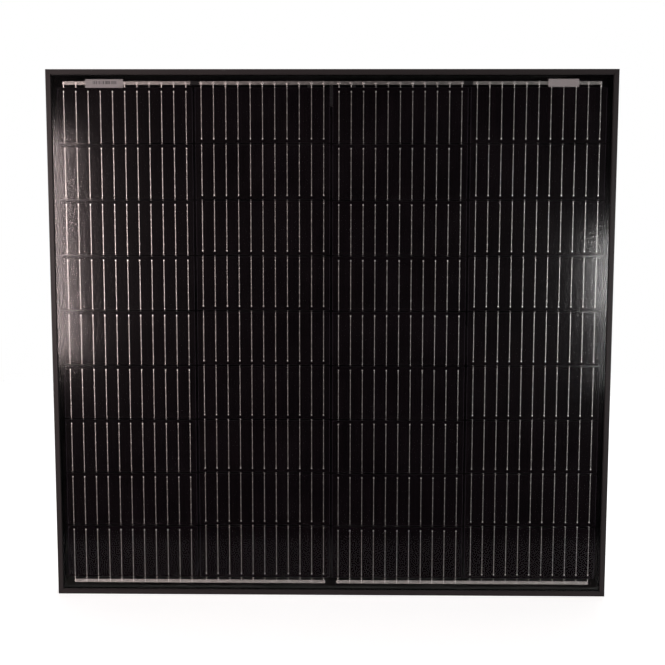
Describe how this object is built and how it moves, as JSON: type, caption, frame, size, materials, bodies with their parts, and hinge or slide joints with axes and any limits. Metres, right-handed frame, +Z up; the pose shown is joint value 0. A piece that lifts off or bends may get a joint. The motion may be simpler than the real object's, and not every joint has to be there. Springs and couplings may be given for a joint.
{
  "type": "solar panel",
  "caption": "Framed monocrystalline photovoltaic panel, near square, with a laminate of cut cells, mitred frame and rear junction box with a hinged lid.",
  "frame": {"origin": "centre of the rear mounting plane and of the four mounting slots", "axes": "+X across the width, +Y out of the rear mounting plane, +Z up the height; the glass faces -Y"},
  "size_m": [0.7664, 0.03, 0.723],
  "materials": {
    "frame_anodised": "satin black anodised, fine extrusion lines",
    "key_aluminium": "bare die-cast",
    "solar_glass": "low-iron tempered glass, finely pebbled front",
    "sealant": "black silicone",
    "encapsulant": "clear cured film",
    "backsheet": "black inner face, white outer face",
    "cell_silicon": "monocrystalline silicon with an anti-reflection coat and fine grid lines",
    "tinned_copper": "tinned copper strip with solder dots",
    "terminal_copper": "tinned copper sheet",
    "label": "light grey printed film, bare",
    "adhesive": "white foam adhesive pad",
    "box_plastic": "black moulded plastic, fine texture",
    "seal_rubber": "black rubber",
    "pin_steel": "stainless steel",
    "diode_body": "black epoxy",
    "gland_plastic": "black nylon"
  },
  "bodies": {
    "panel": {"backsheet": "backsheet", "busbar_bottom_left": "tinned_copper", "busbar_bottom_right": "tinned_copper", "busbar_top_left": "tinned_copper", "busbar_top_middle": "tinned_copper", "busbar_top_right": "tinned_copper", "bypass_diode_left": "diode_body", "bypass_diode_right": "diode_body", "cells_string_1": "cell_silicon", "cells_string_2": "cell_silicon", "cells_string_3": "cell_silicon", "cells_string_4": "cell_silicon", "corner_key_bottom_left": "key_aluminium", "corner_key_bottom_right": "key_aluminium", "corner_key_top_left": "key_aluminium", "corner_key_top_right": "key_aluminium", "edge_seal": "sealant", "encapsulant_front": "encapsulant", "encapsulant_rear": "encapsulant", "frame_rail_bottom": "frame_anodised", "frame_rail_left": "frame_anodised", "frame_rail_right": "frame_anodised", "frame_rail_top": "frame_anodised", "front_glass": "solar_glass", "gland_body_left": "gland_plastic", "gland_body_right": "gland_plastic", "gland_seal_left": "seal_rubber", "gland_seal_right": "seal_rubber", "junction_box_adhesive": "adhesive", "junction_box_base": "box_plastic", "lid_hinge_pin": "pin_steel", "name_label": "label", "output_lead_left": "tinned_copper", "output_lead_middle": "tinned_copper", "output_lead_right": "tinned_copper", "rear_label": "label", "ribbons_string_1": "tinned_copper", "ribbons_string_2": "tinned_copper", "ribbons_string_3": "tinned_copper", "ribbons_string_4": "tinned_copper", "serial_label": "label", "terminal_left": "terminal_copper", "terminal_middle": "terminal_copper", "terminal_right": "terminal_copper"},
    "lid": {"junction_box_lid": "box_plastic", "lid_gasket": "seal_rubber"},
    "gland_ring_left": {"gland_ring_left": "gland_plastic"},
    "gland_nut_left": {"gland_nut_left": "gland_plastic"},
    "gland_ring_right": {"gland_ring_right": "gland_plastic"},
    "gland_nut_right": {"gland_nut_right": "gland_plastic"}
  },
  "joints": [
    {"name": "lid_hinge", "type": "hinge", "parent": "panel", "child": "lid", "pos_m": [0, -0.00395, 0.3287], "axis": [1, 0, 0], "range_deg": [0, 105]},
    {"name": "gland_ring_slide_left", "type": "slide", "parent": "panel", "child": "gland_ring_left", "axis": [0, 0, -1], "range_m": [0, 0.0045]},
    {"name": "gland_nut_turn_left", "type": "hinge", "parent": "gland_ring_left", "child": "gland_nut_left", "pos_m": [-0.03, -0.0136, 0.2493], "axis": [0, 0, -1], "range_deg": [0, 1080]},
    {"name": "gland_ring_slide_right", "type": "slide", "parent": "panel", "child": "gland_ring_right", "axis": [0, 0, -1], "range_m": [0, 0.0045]},
    {"name": "gland_nut_turn_right", "type": "hinge", "parent": "gland_ring_right", "child": "gland_nut_right", "pos_m": [0.03, -0.0136, 0.2493], "axis": [0, 0, -1], "range_deg": [0, 1080]}
  ],
  "couplings": [
    {"joint": "gland_nut_turn_left", "follows": "gland_ring_slide_left", "rad_per_m": 4188.8},
    {"joint": "gland_nut_turn_right", "follows": "gland_ring_slide_right", "rad_per_m": 4188.8}
  ]
}
